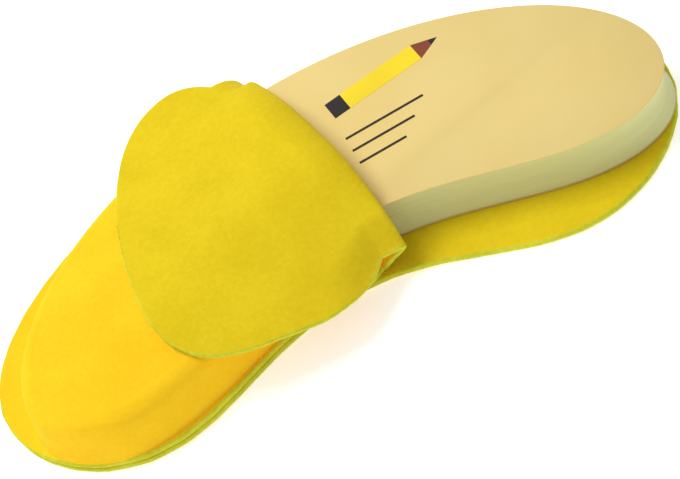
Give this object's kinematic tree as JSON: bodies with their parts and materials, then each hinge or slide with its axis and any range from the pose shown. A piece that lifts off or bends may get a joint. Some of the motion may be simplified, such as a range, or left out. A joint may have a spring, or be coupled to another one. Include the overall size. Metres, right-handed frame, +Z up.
{
  "type": "novelty notepad",
  "caption": "Tear-off notepad cut to the shape of a banana, half in a felt peel whose front panel rolls back as a tongue and bares the pad.",
  "frame": {"origin": "centre of the underside of the felt, on the table", "axes": "+X along the pad towards its bare end, +Y towards the back of the bend, +Z up"},
  "size_m": [0.202, 0.0936, 0.0312],
  "materials": {
    "felt": "pressed wool felt, fuzzy, no weave",
    "board": "grey board, matte",
    "sheets": "cut edges of a pile of sheets, matte",
    "glue": "dried padding glue, soft sheen",
    "cover": "cream printed card, matte",
    "ink_dark": "printed ink, matte",
    "ink_yellow": "printed ink, matte",
    "ink_brown": "printed ink, matte"
  },
  "bodies": {
    "root": {"back_panel": "felt", "front_panel": "felt", "backing_board": "board", "page_block": "sheets", "glue_binding": "glue", "cover_sheet": "cover", "ink_dark": "ink_dark", "ink_yellow": "ink_yellow", "ink_brown": "ink_brown"}
  },
  "joints": []
}
